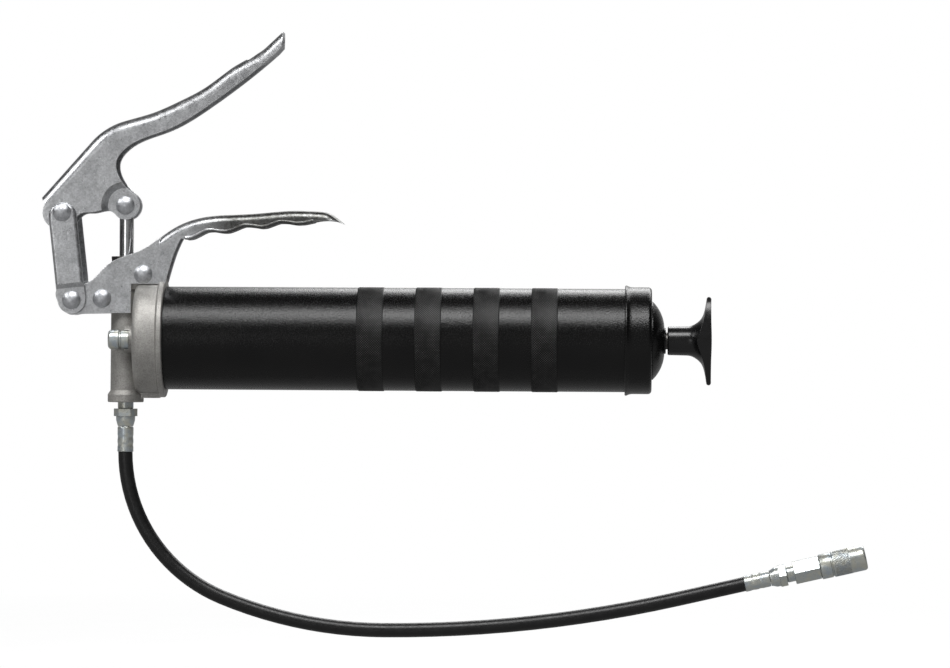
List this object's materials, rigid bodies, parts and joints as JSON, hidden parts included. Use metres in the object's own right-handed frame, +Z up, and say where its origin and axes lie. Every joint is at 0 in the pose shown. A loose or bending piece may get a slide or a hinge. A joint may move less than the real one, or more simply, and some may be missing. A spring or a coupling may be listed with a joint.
{
  "type": "lever-action grease gun",
  "caption": "Lever-action grease gun with a die-cast head, black cartridge barrel, follower rod with T handle, and a whip hose ending in a hydraulic coupler.",
  "frame": {"origin": "where the barrel axis meets the pump plunger's axis", "axes": "+X along the barrel from the head to the T handle, +Z up the pump column towards the lever, +Y completes the right-handed set"},
  "size_m": [0.459, 0.066, 0.3356],
  "materials": {
    "die_cast": "as-cast, matte, fine grain",
    "dark_steel": "blackened turned steel",
    "polished_steel": "ground and polished rod",
    "zinc_stamping": "satin zinc plate, mottled",
    "zinc_rivet": "zinc-plated, satin dome",
    "bright_zinc": "bright zinc plate with a faint yellow and blue tint",
    "spring_steel": "oiled spring wire",
    "ball_steel": "hardened bearing ball",
    "seal_rubber": "matte nitrile rubber",
    "powder_coat": "semi-gloss black powder coat, fine grain",
    "gloss_black": "gloss black",
    "hose_rubber": "satin black rubber"
  },
  "bodies": {
    "head": {"head_casting": "die_cast", "gland_nut": "dark_steel", "plunger_seal": "seal_rubber", "spring_washer": "bright_zinc", "return_spring": "spring_steel", "check_spring": "spring_steel", "filler_fitting": "bright_zinc", "filler_spring": "spring_steel", "barrel_gasket": "seal_rubber", "grip": "zinc_stamping", "grip_rivets": "zinc_rivet", "link_lower_pin": "zinc_rivet"},
    "link": {"link": "zinc_stamping", "link_upper_pin": "zinc_rivet"},
    "lever": {"lever": "zinc_stamping", "plunger_pin": "zinc_rivet"},
    "plunger": {"plunger": "polished_steel", "spring_collar": "bright_zinc", "collar_clip": "spring_steel"},
    "check_ball": {"check_ball": "ball_steel"},
    "filler_ball": {"filler_ball": "ball_steel"},
    "barrel": {"barrel_tube": "powder_coat", "end_cap": "powder_coat", "rod_bushing": "gloss_black", "follower_spring": "spring_steel"},
    "follower": {"follower_cup": "seal_rubber", "follower_plate": "bright_zinc", "follower_washer": "bright_zinc"},
    "rod": {"follower_rod": "polished_steel", "t_handle": "gloss_black", "rod_nut": "bright_zinc"},
    "hose": {"hose": "hose_rubber", "hose_stem": "bright_zinc", "head_ferrule": "bright_zinc", "coupler_ferrule": "bright_zinc", "coupler_stem": "bright_zinc", "coupler_body": "bright_zinc", "coupler_spring": "spring_steel"},
    "sleeve": {"coupler_sleeve": "bright_zinc"},
    "jaws": {"coupler_jaws": "bright_zinc", "coupler_seal": "seal_rubber"},
    "coupler_ball": {"coupler_ball": "ball_steel"}
  },
  "joints": [
    {"name": "link_swing", "type": "hinge", "parent": "head", "child": "link", "pos_m": [-0.0292, 0, 0.0207], "axis": [0, 1, 0], "range_deg": [0, 3]},
    {"name": "lever_squeeze", "type": "hinge", "parent": "link", "child": "lever", "pos_m": [-0.0346, 0, 0.0693], "axis": [0, 1, 0], "range_deg": [0, 30]},
    {"name": "plunger_stroke", "type": "slide", "parent": "head", "child": "plunger", "axis": [0, 0, -1], "range_m": [0, 0.0195], "deforming": ["return_spring"]},
    {"name": "barrel_takeoff", "type": "slide", "parent": "head", "child": "barrel", "axis": [1, 0, 0], "range_m": [0, 0.3]},
    {"name": "follower_pull", "type": "slide", "parent": "barrel", "child": "follower", "axis": [1, 0, 0], "range_m": [0, 0.235], "deforming": ["follower_spring"]},
    {"name": "rod_turn", "type": "hinge", "parent": "follower", "child": "rod", "pos_m": [0.15, 0, 0], "axis": [1, 0, 0], "continuous": true},
    {"name": "check_ball_lift", "type": "slide", "parent": "head", "child": "check_ball", "axis": [0, 0, -1], "range_m": [0, 0.001], "deforming": ["check_spring"]},
    {"name": "filler_ball_press", "type": "slide", "parent": "head", "child": "filler_ball", "axis": [1, 0, 0], "range_m": [0, 0.001], "deforming": ["filler_spring"]},
    {"name": "hose_turn", "type": "hinge", "parent": "head", "child": "hose", "pos_m": [0, 0, -0.04], "axis": [0, 0, 1], "range_deg": [-180, 180]},
    {"name": "coupler_sleeve_turn", "type": "hinge", "parent": "hose", "child": "sleeve", "pos_m": [0.39302, 0, -0.12315], "axis": [0.9744, 0, 0.225], "continuous": true},
    {"name": "jaw_press", "type": "slide", "parent": "hose", "child": "jaws", "axis": [-0.9744, 0, -0.225], "range_m": [0, 0.0007]},
    {"name": "coupler_ball_lift", "type": "slide", "parent": "hose", "child": "coupler_ball", "axis": [0.9744, 0, 0.225], "range_m": [0, 0.001], "deforming": ["coupler_spring"]}
  ],
  "couplings": [
    {"joint": "link_swing", "follows": "lever_squeeze", "ratio": 0.091},
    {"joint": "plunger_stroke", "follows": "lever_squeeze", "m_per_rad": 0.03678}
  ]
}
